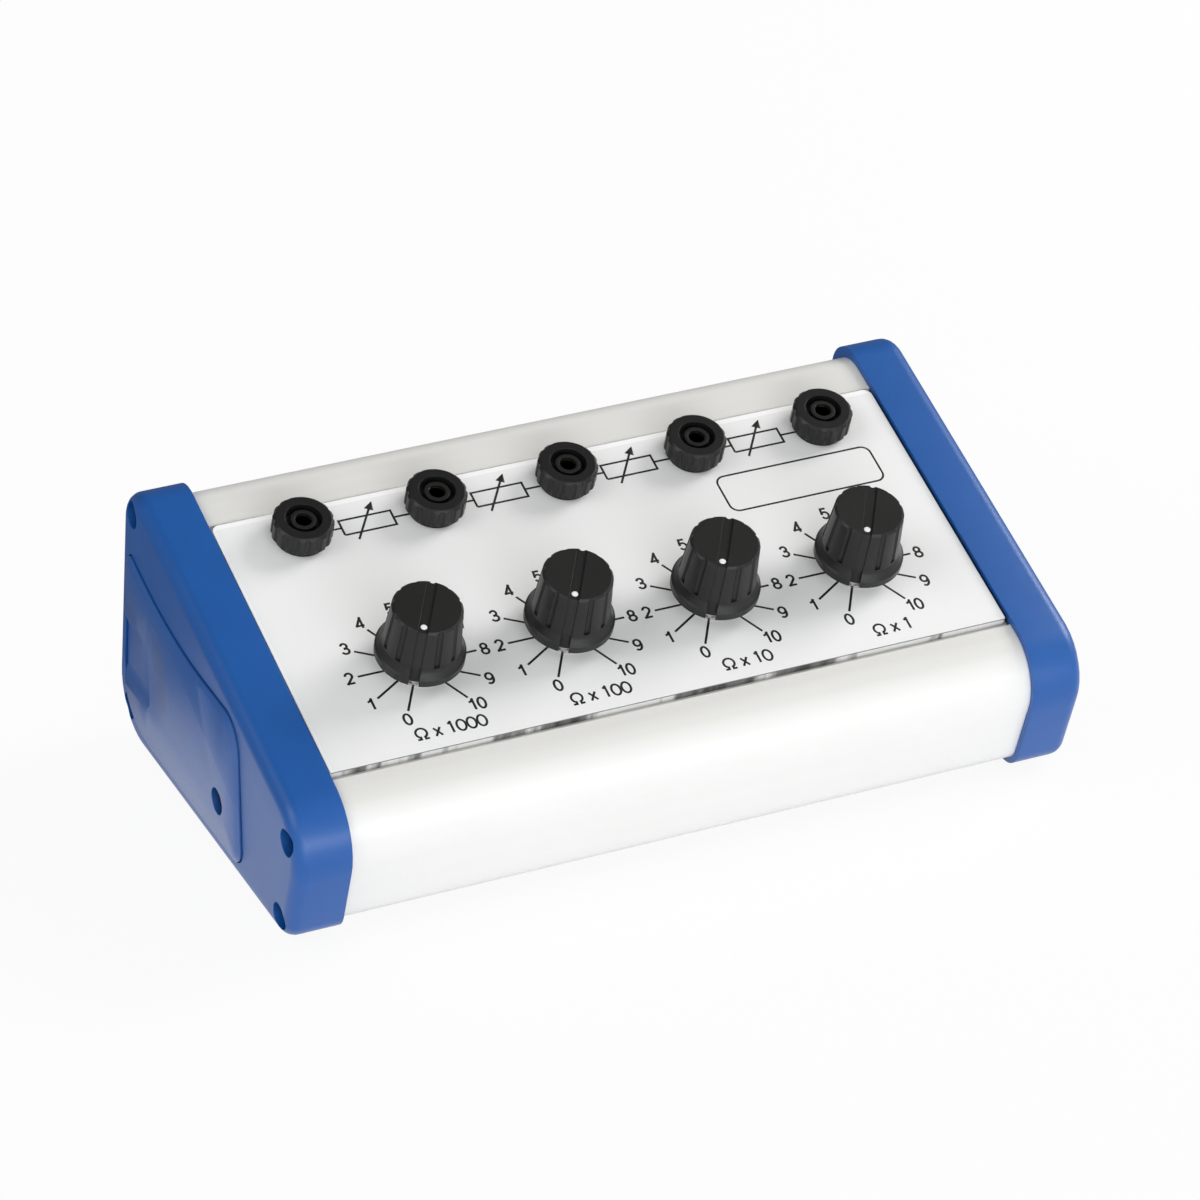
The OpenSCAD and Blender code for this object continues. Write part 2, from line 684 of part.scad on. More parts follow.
module pointer_channel() {
    floor_z = knob_h - pointer_depth;
    difference() {
        union() {
            translate([-pointer_w / 2, -skirt_d, floor_z]) cube([pointer_w, 2 * skirt_d, knob_h]);
            translate([-pointer_w / 2, 0, -1]) cube([pointer_w, skirt_d, knob_h + 2]);
        }
        rotate_extrude() polygon([[0, -2], [knob_base_d / 2 - pointer_depth, -2],
            [knob_base_d / 2 - pointer_depth, knob_foot_z],
            [knob_top_d / 2 - pointer_depth, floor_z], [0, floor_z]]);
    }
}

module knob(i) color("dimgray") at_dial(i) translate([0, 0, knob_gap]) rotate(rest_turn) {
    flute_z = knob_foot_z + knob_edge;
    flute_h = knob_h - flute_z;
    taper = atan((knob_base_d - knob_top_d) / 2 / (knob_h - knob_foot_z));
    bore_h = knob_h - shaft_sink + 0.5;
    hollow_h = bush_top - knob_gap + 1;
    difference() {
        rotate_extrude() knob_profile();
        for (k = [1:flutes - 1])
            rotate(k * 360 / flutes)
                translate([0, knob_base_d / 2 + flute_d / 2 - flute_depth, flute_z])
                    rotate([taper, 0, 0]) cylinder(r = flute_d / 2, h = flute_h + 2);
        pointer_channel();
        translate([0, 0, -1]) cylinder(r = switch_nut_r + seat, h = hollow_h + 1);
        difference() {
            cylinder(r = shaft_r + run, h = bore_h);
            translate([-shaft_r - 1, -shaft_r - 1, hollow_h + 1])
                cube([shaft_d + 2, 1 + flat_depth - run, bore_h]);
        }
    }
}

// One board on the switches' pins carries the forty resistors on its lower face.
module resistor_places() for (s = [-1, 1], k = [1:per_row])
    translate([(k - (per_row + 1) / 2) * resistor_pitch, s * resistor_row, 0]) children();

module wire_places() for (i = [1:terminals])
    on_panel(terminal_x(i), board_d / 2 - wire_edge) children();

module circuit_board() color("darkgreen") difference() {
    on_panel(dial_shift, 0, board_z + board_t / 2) cube([board_l, board_d, board_t], center = true);
    at_dials() translate([0, 0, board_z - 1]) {
        contact_places() cylinder(r = pin_r + run, h = board_t + 2);
        resistor_places() for (s = [-1, 1])
            translate([0, s * lead_span / 2, 0]) cylinder(r = lead_r + run, h = board_t + 2);
    }
    wire_places() translate([0, 0, board_z - 1]) cylinder(r = wire_r + run, h = board_t + 2);
}

// Resistor lying under the board, its leads bent up into their holes.
module resistor() {
    axis_z = -resistor_r;
    rotate([90, 0, 0]) translate([0, axis_z, -resistor_l / 2]) {
        cylinder(r = resistor_r - resistor_waist, h = resistor_l);
        cylinder(r = resistor_r, h = resistor_end);
        translate([0, 0, resistor_l - resistor_end]) cylinder(r = resistor_r, h = resistor_end);
        translate([0, 0, (resistor_l - lead_span) / 2]) cylinder(r = lead_r, h = lead_span);
    }
    for (s = [-1, 1]) translate([0, s * lead_span / 2, axis_z]) {
        sphere(lead_r);
        cylinder(r = lead_r, h = board_t + resistor_r + lead_end);
    }
}

module decade_resistors(i) color("tan") at_dial(i) translate([0, 0, board_z]) resistor_places() resistor();

// Link wires from the solder tags down to the board's rear edge.
module link_wires() color("red") for (i = [1:terminals]) on_panel(terminal_x(i)) {
    end = 0.8;
    drop = 2.5;
    rise = 1.4;
    y0 = terminal_row - tag_reach;
    y1 = board_d / 2 - wire_edge;
    path = [[0, y0, tag_z + tag_h + end], [0, y0, tag_z - drop],
        [0, y1, board_z + board_t + rise], [0, y1, board_z - end]];
    for (k = [0:len(path) - 2]) rod(path[k], path[k + 1], wire_r);
    for (k = [1:len(path) - 2]) translate(path[k]) sphere(wire_r);
}

case_shell();
top_panel();
left_cheek();
right_cheek();
left_grip_pad();
right_grip_pad();
cheek_screws();
grip_pad_screws();
rubber_feet();
terminal_stems();
terminal_sleeves();
terminal_collars();
terminal_washers();
terminal_nuts();
terminal_tags();
switch_housings();
switch_bushes();
switch_washers();
switch_nuts();
switch_contacts();
circuit_board();
link_wires();
for (i = [1:dials]) {
    decade_resistors(i);
    knob(i);
    switch_shaft(i);
    switch_rotor(i);
    switch_wiper(i);
}
for (i = [1:terminals]) {
    clamp_ring(i);
    terminal_cap(i);
}
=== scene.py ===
import json
import math

import bpy
from mathutils import Matrix, Vector


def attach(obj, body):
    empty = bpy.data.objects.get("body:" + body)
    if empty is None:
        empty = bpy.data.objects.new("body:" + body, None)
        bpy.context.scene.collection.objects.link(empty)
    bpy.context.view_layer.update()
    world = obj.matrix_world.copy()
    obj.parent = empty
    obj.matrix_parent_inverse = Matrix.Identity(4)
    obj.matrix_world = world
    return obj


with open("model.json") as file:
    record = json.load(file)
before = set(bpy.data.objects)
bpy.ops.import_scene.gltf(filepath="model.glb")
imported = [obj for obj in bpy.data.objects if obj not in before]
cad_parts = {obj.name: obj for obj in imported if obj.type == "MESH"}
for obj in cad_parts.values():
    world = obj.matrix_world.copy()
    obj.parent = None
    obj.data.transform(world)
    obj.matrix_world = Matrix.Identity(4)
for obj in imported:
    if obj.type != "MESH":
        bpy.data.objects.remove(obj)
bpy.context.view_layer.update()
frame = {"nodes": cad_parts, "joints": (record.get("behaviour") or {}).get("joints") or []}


# The case is a length of aluminium extrusion, sawn square at both ends and powder-coated a satin white.
# The coat flows out smooth, with a faint orange peel that only shows where light glances off it.
# Where it faces half forward, as on the rounded lip in front of the panel, it is painted a darker cream as
# painted shade.

class Field:
    """A value, colour or vector that varies over a surface: one output of a finish's nodes."""

    def __init__(self, socket):
        self.socket = socket
        self.tree = socket.id_data

    def node(self, kind, settings=(), inputs=(), output=0):
        """Any node: its settings first, then its sockets' values or links. Gives one output."""
        made = self.tree.nodes.new(kind)
        for name, value in dict(settings).items():
            if name == "stops":
                ramp = made.color_ramp
                for place, colour in value[2:]:
                    ramp.elements.new(place)
                for stop, (place, colour) in zip(ramp.elements, sorted(value)):
                    stop.position = place
                    stop.color = colour
            else:
                setattr(made, name, value)
        for name, value in dict(inputs).items():
            if isinstance(value, Field):
                self.tree.links.new(value.socket, made.inputs[name])
            else:
                made.inputs[name].default_value = value
        return Field(made.outputs[output])

    def math(self, operation, first, second):
        return self.node("ShaderNodeMath", {"operation": operation}, {0: first, 1: second})

    def __add__(self, other):
        return self.math("ADD", self, other)

    __radd__ = __add__

    def __sub__(self, other):
        return self.math("SUBTRACT", self, other)

    def __rsub__(self, other):
        return self.math("SUBTRACT", other, self)

    def __mul__(self, other):
        return self.math("MULTIPLY", self, other)

    __rmul__ = __mul__

    def __lt__(self, other):
        return self.math("LESS_THAN", self, other)

    def __gt__(self, other):
        return self.math("GREATER_THAN", self, other)

    def along(self, direction):
        """How far a place lies along a direction."""
        return self.node("ShaderNodeVectorMath", {"operation": "DOT_PRODUCT"},
                         {0: self, 1: direction}, "Value")

    def stretched(self, factors):
        return self.node("ShaderNodeVectorMath", {"operation": "MULTIPLY"},
                         {0: self, 1: factors}, "Vector")

    def grain(self, size, detail=2.0):
        """Cloudy noise from 0 to 1, of about that size in the piece's own units."""
        return self.node("ShaderNodeTexNoise", {}, {"Vector": self, "Scale": 1 / size, "Detail": detail})

    def ramp(self, *stops):
        return self.node("ShaderNodeValToRGB", {"stops": stops}, {"Fac": self})

    def mix(self, first, second):
        """The first colour where this mask is 0 and the second where it is 1."""
        return self.node("ShaderNodeMix", {"data_type": "RGBA"}, {0: self, 6: first, 7: second}, 2)


def finish(name, steady):
    """A new finish with the sockets that are the same all over, its shader and the place on the piece."""
    material = bpy.data.materials.new(name)
    material.use_nodes = True
    shader = material.node_tree.nodes["Principled BSDF"]
    for socket, value in steady.items():
        shader.inputs[socket].default_value = value
    place = Field(material.node_tree.nodes.new("ShaderNodeTexCoord").outputs["Object"])
    return material, shader, place


def feed(shader, varying):
    for socket, field in varying.items():
        field.tree.links.new(field.socket, shader.inputs[socket])


def relief(shader, height, depth, edge):
    """Bumps of a depth in metres over the surface, and corners that look broken to a small radius."""
    eased = height.node("ShaderNodeBevel", {"samples": 4}, {"Radius": edge}, "Normal")
    bumped = height.node("ShaderNodeBump", {},
                         {"Height": height, "Distance": depth, "Normal": eased}, "Normal")
    feed(shader, {"Normal": bumped})


def paint(material, *nodes):
    """Gives CAD nodes a finish."""
    for node in nodes:
        for slot in frame["nodes"][node].material_slots:
            slot.material = material


white_low = (0.775, 0.771, 0.752, 1)
white_high = (0.815, 0.812, 0.797, 1)
white_lip_shade = (0.67, 0.662, 0.632, 1)
mask_off = (0, 0, 0, 1)
mask_on = (1, 1, 1, 1)
peel_size = 0.0012
peel_depth = 0.00003
cloud_size = 0.03
streak_size = 0.0035
drawn_along = (0.04, 1, 1)
case_edge = 0.0003
powder_white, shader, place = finish("powder_white", {"Specular IOR Level": 0.45, "Coat Roughness": 0.18})
peel = place.grain(peel_size, 3.0)
cloud = place.grain(cloud_size)
streaks = place.stretched(drawn_along).grain(streak_size, 4.0)
clean_white = (streaks * 0.6 + cloud * 0.4).mix(white_low, white_high)
facing = place.node("ShaderNodeTexCoord", {}, {}, "Normal")
front_facing = facing.along((0, -1, 0))
# Painted shade: surfaces that face half forward, such as the rounded lip, turn a darker cream.
lip_shade = front_facing.ramp((0.05, mask_off), (0.3, mask_on), (0.6, mask_on), (0.9, mask_off))
feed(shader, {"Base Color": (lip_shade * (0.6 + 0.4 * streaks)).mix(clean_white, white_lip_shade),
              "Roughness": 0.34 + 0.1 * cloud,
              "Coat Weight": 0.05 + 0.08 * peel})
relief(shader, peel, peel_depth, case_edge)
paint(powder_white, "case_shell")


# Four moulded rubber feet under the case, matt black, a little dusty all over.
# They are pressed on with an adhesive face and take the weight on four small flats.

rubber_dark = (0.018, 0.018, 0.018, 1)
rubber_dusty = (0.05, 0.049, 0.047, 1)
dust_size = 0.004
rubber_grain = 0.0006
rubber_depth = 0.00004
rubber_edge = 0.0003
rubber_black, shader, place = finish("rubber_black", {"Specular IOR Level": 0.3})
dust = place.grain(dust_size, 5.0)
feed(shader, {"Base Color": dust.mix(rubber_dark, rubber_dusty),
              "Roughness": 0.7 + 0.2 * dust})
relief(shader, place.grain(rubber_grain), rubber_depth, rubber_edge)
paint(rubber_black, "rubber_feet")


# The panel is a clear acrylic plate, printed white on its back, which drops on the ledges of the case.
# Its face is glossy. Its cut front edge lets light in, and shows painted reflections in smears of grey and
# black; its other edges show a painted highlight as a thin bright rim.

normal = -Vector(frame["joints"][0]["axis"])
along = Vector((1, 0, 0))
up_slope = normal.cross(along)
dial_points = [Vector(j["pos_m"]) for j in frame["joints"] if j["name"].startswith("dial_")]
cap_points = [Vector(j["pos_m"]) for j in frame["joints"] if j["name"].startswith("cap_")]
panel_middle = (dial_points[0] + dial_points[-1]) / 2
panel_points = [v.co for v in frame["nodes"]["top_panel"].data.vertices]
panel_front = min((p - panel_middle).dot(up_slope) for p in panel_points)
panel_rear = max((p - panel_middle).dot(up_slope) for p in panel_points)
panel_end = max(p.x for p in panel_points)
rear_rim = 0.0014
side_rim = 0.0008
hairline_width = 0.0003
skin = 0.00005
reflection_length = 0.011
reflection_shape = (1.0, 0.1, 0.1)
haze_size = 0.02
haze_depth = 0.00001
panel_edge = 0.0002

panel_white = (0.83, 0.833, 0.828, 1)
panel_haze = (0.845, 0.847, 0.842, 1)
rim_highlight = (0.93, 0.93, 0.93, 1)
edge_pale = (0.78, 0.78, 0.77, 1)
edge_grey = (0.20, 0.20, 0.195, 1)
edge_dark = (0.035, 0.034, 0.032, 1)
panel_gloss, shader, place = finish("panel_gloss", {"Roughness": 0.35, "Coat Roughness": 0.04,
                                                    "Coat Weight": 0.6, "Specular IOR Level": 0.4})
down = place.along(up_slope) - panel_middle.dot(up_slope)
across = place.along(along)
on_front = down < panel_front + skin
from_middle = across.node("ShaderNodeMath", {"operation": "ABSOLUTE"}, {0: across})
on_side = from_middle > panel_end - side_rim
# Painted reflections on the cut front edge: noise stretched along it turns pale, grey and black.
reflection_grain = place.stretched(reflection_shape).grain(reflection_length, 4.0)
edge_reflections = reflection_grain.ramp((0.50, edge_pale), (0.55, edge_grey), (0.62, edge_dark), (0.70, edge_grey))
below_face = panel_middle.dot(normal) - place.along(normal)
hairline = below_face < hairline_width
front_edge = hairline.mix(edge_reflections, edge_grey)
haze = place.grain(haze_size)
face = haze.mix(panel_white, panel_haze)
# Painted highlight: a thin bright rim along the side and rear edges.
on_rim = on_side.math("MAXIMUM", on_side, down > panel_rear - rear_rim)
plate = on_rim.mix(face, rim_highlight)
feed(shader, {"Base Color": on_front.mix(plate, front_edge)})
relief(shader, haze, haze_depth, panel_edge)
paint(panel_gloss, "top_panel")


# The panel's black screen print: a scale of eleven ticks and numbers round each dial, its multiplier
# below, a chain of variable resistors drawn between the terminals, and one rounded frame.
# The ink is thin and flat.

ink_black, shader, place = finish("ink_black", {"Roughness": 0.42, "Specular IOR Level": 0.4})
ink_cloud = 0.4
ink_cover = place.grain(ink_cloud, 4.0)
feed(shader, {"Base Color": ink_cover.mix((0.006, 0.006, 0.0065, 1), (0.016, 0.016, 0.0165, 1))})

mm = 0.001
ink_flatness = 0.08
arc_step = 15
gentle_bend = 0.8
same_point = 1e-6
panel_axes = Matrix((along, up_slope, normal)).transposed().to_4x4()


def bow(x, y, rx, ry, start, end):
    """Points of an oval's arc between two angles, in degrees."""
    steps = max(3, round(abs(end - start) / arc_step))
    angles = [math.radians(start + (end - start) * k / steps) for k in range(steps + 1)]
    return [(x + rx * math.cos(a), y + ry * math.sin(a)) for a in angles]


def turned(stroke, x, y):
    """A stroke given half a turn about a point."""
    return [(2 * x - px, 2 * y - py) for px, py in stroke]


def oval(x, y, rx, ry):
    return bow(x, y, rx, ry, 0, 360)


six = [oval(0.30, 0.31, 0.27, 0.31), bow(0.35, 0.5, 0.32, 0.5, 52, 190)]
numerals = {
    "0": [oval(0.30, 0.5, 0.28, 0.5)],
    "1": [[(0.02, 0.76), (0.2, 0.83), (0.34, 1), (0.34, 0)]],
    "2": [bow(0.30, 0.71, 0.26, 0.29, 172, -38) + [(0.03, 0), (0.58, 0)]],
    "3": [bow(0.29, 0.75, 0.23, 0.25, 168, -85) + bow(0.29, 0.265, 0.27, 0.265, 85, -168)],
    "4": [[(0.44, 0), (0.44, 1), (0.01, 0.26), (0.6, 0.26)]],
    "5": [[(0.54, 1), (0.14, 1), (0.07, 0.5)] + bow(0.29, 0.33, 0.28, 0.33, 140, -158)],
    "6": six,
    "7": [[(0.02, 1), (0.58, 1), (0.36, 0.55), (0.22, 0)]],
    "8": [oval(0.30, 0.755, 0.225, 0.245), oval(0.30, 0.265, 0.275, 0.265)],
    "9": [turned(stroke, 0.30, 0.5) for stroke in six]}
numeral_step = 0.66
numeral_span = 0.6


def runs(points, width):
    """The straight and gently bent runs of a stroke, parted at its corners and lapped there.
    A corner is where the cosine of the bend is under gentle_bend."""
    parts = [[Vector(points[0])]]
    for before, here, after in zip(points, points[1:], points[2:]):
        inward = (Vector(here) - Vector(before)).normalized()
        outward = (Vector(after) - Vector(here)).normalized()
        if inward.dot(outward) > gentle_bend:
            parts[-1].append(Vector(here))
        else:
            parts[-1].append(Vector(here) + inward * width / 2)
            parts.append([Vector(here) - outward * width / 2])
    parts[-1].append(Vector(points[-1]))
    return parts


def print_piece(name, origin, strokes):
    """One piece of print, from strokes of (points, first width, last width) in mm from an origin."""
    sheet = bpy.data.curves.new(name, "CURVE")
    sheet.dimensions = "3D"
    sheet.bevel_depth = 0.5
    sheet.bevel_resolution = 1
    sheet.use_fill_caps = True
    for points, start_width, end_width in strokes:
        for run in runs(points, start_width):
            spline = sheet.splines.new("POLY")
            closed = (run[0] - run[-1]).length < same_point
            kept = run[:-1] if closed else run
            spline.points.add(len(kept) - 1)
            spline.use_cyclic_u = closed
            for k, (x, y) in enumerate(kept):
                spline.points[k].co = (x, y, 0, 1)
                spline.points[k].radius = start_width if k < len(kept) - 1 else end_width
    sheet.materials.append(ink_black)
    piece = bpy.data.objects.new(name, sheet)
    bpy.context.scene.collection.objects.link(piece)
    flat = Matrix.Diagonal((mm, mm, mm * ink_flatness, 1))
    piece.matrix_world = Matrix.Translation(origin) @ panel_axes @ flat
    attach(piece, "box")


def lettering(glyphs, steps, last_span, height, middle, width):
    """Strokes of a line of glyphs, each moved on by its step, centred on a middle point."""
    length = (sum(steps[:-1]) + last_span) * height
    x = middle[0] - length / 2
    strokes = []
    for glyph, step in zip(glyphs, steps):
        for stroke in glyph:
            points = [(x + px * height, middle[1] + (py - 0.5) * height) for px, py in stroke]
            strokes.append((points, width, width))
        x += step * height
    return strokes


dial_ways = 11
top_way = 5
way_angle = math.radians(30)
tick_inner = 5.6
tick_outer = 14.6
tick_width = 0.58
number_height = 3.05
number_width = 0.6
number_reach = (16.6, 17.2)
number_spread = 0.5

multiplier_height = 3.14
multiplier_width = 0.57
multiplier_middle = (0.27, -19.75)
ohm = [[(0.02, 0), (0.3, 0)] + bow(0.475, 0.57, 0.42, 0.43, 245, -65) + [(0.65, 0), (0.93, 0)]]
times = [[(0, 0), (0.5, 0.76)], [(0, 0.76), (0.5, 0)]]
slim_one = [[(0, 0.84), (0.22, 1), (0.22, 0)]]
round_nought = [oval(0.335, 0.5, 0.335, 0.5)]
ohm_step = 1.465
times_step = 1.162
one_step = 0.615
one_span = 0.22
nought_step = 0.803
nought_span = 0.67

for i, point in enumerate(dial_points):
    strokes = []
    for k in range(dial_ways):
        angle = (k - top_way) * way_angle
        out = (math.sin(angle), math.cos(angle))
        ends = [(out[0] * r, out[1] * r) for r in (tick_inner, tick_outer)]
        strokes.append((ends, tick_width, tick_width))
        digits = str(k)
        spread = (len(digits) - 1) * number_spread
        middle = (out[0] * number_reach[0] + spread, out[1] * number_reach[1])
        strokes += lettering([numerals[d] for d in digits], [numeral_step] * len(digits),
                             numeral_span, number_height, middle, number_width)
    print_piece(f"dial_scale_{i + 1}", point, strokes)

    noughts = len(dial_points) - 1 - i
    glyphs = [ohm, times, slim_one] + [round_nought] * noughts
    steps = [ohm_step, times_step, one_step] + [nought_step] * noughts
    print_piece(f"multiplier_{i + 1}", point,
                lettering(glyphs, steps, nought_span if noughts else one_span,
                          multiplier_height, multiplier_middle, multiplier_width))

symbol_width = 0.56
symbol_size = (12.95, 4.5)
arrow_tail = (-3.75, -4.3)
arrow_tip = (3.25, 6.1)
arrow_head = 2.7
arrow_head_width = 2.3
arrow_point_width = 0.05
arrow_reach = math.dist(arrow_tail, arrow_tip)
arrow_neck = tuple(tip - (tip - tail) * arrow_head / arrow_reach
                   for tail, tip in zip(arrow_tail, arrow_tip))
end = symbol_size[0] / 2
side = symbol_size[1] / 2
resistor_body = [(-end, -side), (end, -side), (end, side), (-end, side), (-end, -side)]
for i in range(len(cap_points) - 1):
    middle = (cap_points[i] + cap_points[i + 1]) / 2
    half_gap = (cap_points[i + 1] - cap_points[i]).length / 2 / mm
    print_piece(f"resistor_symbol_{i + 1}", middle,
                [(resistor_body, symbol_width, symbol_width),
                 ([(-half_gap, 0), (-end, 0)], symbol_width, symbol_width),
                 ([(end, 0), (half_gap, 0)], symbol_width, symbol_width),
                 ([arrow_tail, arrow_neck], symbol_width, symbol_width),
                 ([arrow_neck, arrow_tip], arrow_head_width, arrow_point_width)])

frame_size = (40.3, 11.2)
frame_middle = (54.65, 29.1)
frame_corner = 2.2
frame_width = 0.52
outline = []
for turn, (side_x, side_y) in enumerate([(1, 1), (-1, 1), (-1, -1), (1, -1)]):
    x = frame_middle[0] + side_x * (frame_size[0] / 2 - frame_corner)
    y = frame_middle[1] + side_y * (frame_size[1] / 2 - frame_corner)
    outline += bow(x, y, frame_corner, frame_corner, 90 * turn, 90 * turn + 90)
print_piece("empty_frame", panel_middle, [(outline + outline[:1], frame_width, frame_width)])


# One rotary switch under each dial: a dark moulded housing held to the panel by a nut on its
# threaded bush, with an ivory rotor and a sprung brass wiper on the turned steel shaft.

def in_hollows(colour, dark, reach, closed, clear):
    """The colour, turning to a dark one as painted shade in holes narrower than a reach in metres.
    It is dark where less than the closed share of the sky is open, and plain above the clear share."""
    # Painted shade: the less open sky a point sees, the darker its colour.
    open_sky = colour.node("ShaderNodeAmbientOcclusion", {"samples": 8}, {"Distance": reach}, "AO")
    return open_sky.ramp((closed, mask_off), (clear, mask_on)).mix(dark, colour)


tarnish_size = 0.004
mark_size = 0.0008
mark_shape = (1, 1, 6)
mark_depth = 0.00001
metal_edge = 0.0001
bore_shade = (0.008, 0.007, 0.005, 1)


def metal(name, low, high, roughness, hollow=0.0):
    """Turned or plated metal: a colour that clouds a little, over fine tool marks, with painted shade in
    hollows within a reach.
    """
    material, shader, place = finish(name, {"Metallic": 1.0})
    tarnish = place.grain(tarnish_size, 3.0)
    marks = place.stretched(mark_shape).grain(mark_size)
    colour = tarnish.mix(low, high)
    if hollow:
        colour = in_hollows(colour, bore_shade, hollow, closed=0.3, clear=0.6)
    feed(shader, {"Base Color": colour, "Roughness": roughness + 0.15 * marks})
    relief(shader, marks, mark_depth, metal_edge)
    return material


mould_cloud = 0.012
hollow_shade_tone = 0.05
hollow_closed = 0.22
hollow_clear = 0.46


def moulding(name, low, high, roughness, grain_size, grain_depth, edge, specular=0.5, hollow=0.0, coat=0.0):
    """Moulded plastic: a colour that clouds a little and darkens in hollows as painted shade, over the
    mould's grain.
    """
    material, shader, place = finish(name, {"Specular IOR Level": specular, "Coat Weight": coat,
                                            "Coat Roughness": 0.3})
    cloud = place.grain(mould_cloud, 3.0)
    grain = place.grain(grain_size)
    colour = cloud.mix(low, high)
    if hollow:
        dark = tuple(hollow_shade_tone * part for part in low)
        colour = in_hollows(colour, dark, hollow, hollow_closed, hollow_clear)
    feed(shader, {"Base Color": colour, "Roughness": roughness + 0.12 * grain})
    relief(shader, grain, grain_depth, edge)
    return material


switch_dark = moulding("switch_dark", (0.03, 0.035, 0.04, 1), (0.05, 0.055, 0.06, 1), roughness=0.42,
                       grain_size=0.0005, grain_depth=0.00002, edge=0.0003)
rotor_ivory = moulding("rotor_ivory", (0.66, 0.62, 0.52, 1), (0.74, 0.71, 0.6, 1), roughness=0.45,
                       grain_size=0.0006, grain_depth=0.00002, edge=0.0002)
turned_steel = metal("turned_steel", (0.5, 0.5, 0.51, 1), (0.6, 0.6, 0.61, 1), roughness=0.25)
nickel_plate = metal("nickel_plate", (0.6, 0.59, 0.56, 1), (0.7, 0.69, 0.66, 1), roughness=0.2)
brass_low = (0.7, 0.5, 0.2, 1)
brass_high = (0.82, 0.62, 0.3, 1)
turned_brass = metal("turned_brass", brass_low, brass_high, roughness=0.22)
dials = range(1, len(dial_points) + 1)
paint(switch_dark, "switch_housings")
paint(turned_steel, "switch_bushes", *[f"switch_shaft_{i}" for i in dials])
paint(nickel_plate, "switch_washers", "switch_nuts")
paint(turned_brass, "switch_contacts", *[f"switch_wiper_{i}" for i in dials])
paint(rotor_ivory, *[f"switch_rotor_{i}" for i in dials])


# A green lacquered circuit board on the switches' pins, with ten like resistors for each decade
# below it and a red insulated wire from its rear edge up to each terminal.

board_green = moulding("board_green", (0.015, 0.12, 0.05, 1), (0.03, 0.2, 0.09, 1), roughness=0.25,
                       grain_size=0.0004, grain_depth=0.00001, edge=0.0002)
wire_red = moulding("wire_red", (0.45, 0.025, 0.02, 1), (0.55, 0.04, 0.03, 1), roughness=0.35,
                    grain_size=0.0008, grain_depth=0.00001, edge=0.0001)
paint(board_green, "circuit_board")
paint(wire_red, "link_wires")

band_spacing = 0.0011
band_colours = [(0.02, 0.06, 0.35, 1), (0.3, 0.02, 0.02, 1), (0.15, 0.06, 0.02, 1), (0.2, 0.38, 0.52, 1)]
lacquer_low = (0.2, 0.38, 0.52, 1)
lacquer_high = (0.26, 0.45, 0.58, 1)
lacquer_cloud = 0.002
lacquer_grain = 0.001
lacquer_depth = 0.00002
lacquer_edge = 0.0001
resistor_lacquer, shader, place = finish("resistor_lacquer", {"Roughness": 0.28, "Coat Weight": 0.4})
position = place.along(up_slope)
stripe = position.node("ShaderNodeMath", {"operation": "FRACT"},
                       {0: position * (1 / (len(band_colours) * band_spacing))})
stripes = stripe.ramp(*[((k + 0.5) / len(band_colours), colour) for k, colour in enumerate(band_colours)])
ring = position.node("ShaderNodeMath", {"operation": "PINGPONG"}, {0: position, 1: band_spacing / 2})
lacquer = place.grain(lacquer_cloud).mix(lacquer_low, lacquer_high)
feed(shader, {"Base Color": (ring > band_spacing / 4).mix(lacquer, stripes)})
relief(shader, place.grain(lacquer_grain), lacquer_depth, lacquer_edge)
paint(resistor_lacquer, *[f"decade_resistors_{i}" for i in dials])


# Each terminal is a brass post with a 4 mm socket, insulated from the panel by a black collar and
# a fibre washer, clamped by two nuts, with a solder tag between them and a plated ring under its cap.
# A black sleeve lines the mouth of the socket; little light gets down it, and the brass there is darkened
# with painted shade.

terminals = range(1, len(cap_points) + 1)
cap_black = moulding("cap_black", (0.006, 0.006, 0.006, 1), (0.009, 0.009, 0.0092, 1), roughness=0.3,
                     grain_size=0.0005, grain_depth=0.00002, edge=0.0003, specular=0.36)
fibre_brown = moulding("fibre_brown", (0.22, 0.1, 0.05, 1), (0.32, 0.16, 0.08, 1), roughness=0.6,
                       grain_size=0.0009, grain_depth=0.00004, edge=0.0001)
# Painted shade darkens the brass down the bore of each post.
post_brass = metal("post_brass", brass_low, brass_high, roughness=0.22, hollow=0.02)
paint(post_brass, "terminal_stems")
paint(cap_black, "terminal_sleeves", "terminal_collars")
paint(fibre_brown, "terminal_washers")
paint(nickel_plate, "terminal_nuts", "terminal_tags", *[f"clamp_ring_{i}" for i in terminals])


# Black screw caps with a scalloped rim, moulded in one piece with their thread, in the same
# black plastic as the sleeves and with the low sheen that the mould left.

paint(cap_black, *[f"terminal_cap_{i}" for i in terminals])


# Charcoal knobs pushed on the flatted shafts, moulded with a channel across the top that runs
# down to a slit in the skirt. A white dot is filled in at the front end of the channel.

knob_charcoal = moulding("knob_charcoal", (0.006, 0.006, 0.006, 1), (0.014, 0.0138, 0.0136, 1),
                         roughness=0.33, grain_size=0.0004, grain_depth=0.000025, edge=0.0001,
                         specular=0.34)
paint(knob_charcoal, *[f"knob_{i}" for i in dials])

dot_white = moulding("dot_white", (0.78, 0.78, 0.77, 1), (0.84, 0.84, 0.83, 1), roughness=0.4,
                     grain_size=0.2, grain_depth=0.00001, edge=0.0001)
knob_points = [v.co - dial_points[0] for v in frame["nodes"]["knob_1"].data.vertices]
knob_top = max(p.dot(normal) for p in knob_points)
channel_depth = 0.45 * mm
dot_height = 0.12 * mm
dot_radius = 0.8 * mm
dot_reach = 5.9 * mm
rest_angle = math.radians(150)
pointer = Matrix.Rotation(rest_angle, 3, normal) @ up_slope

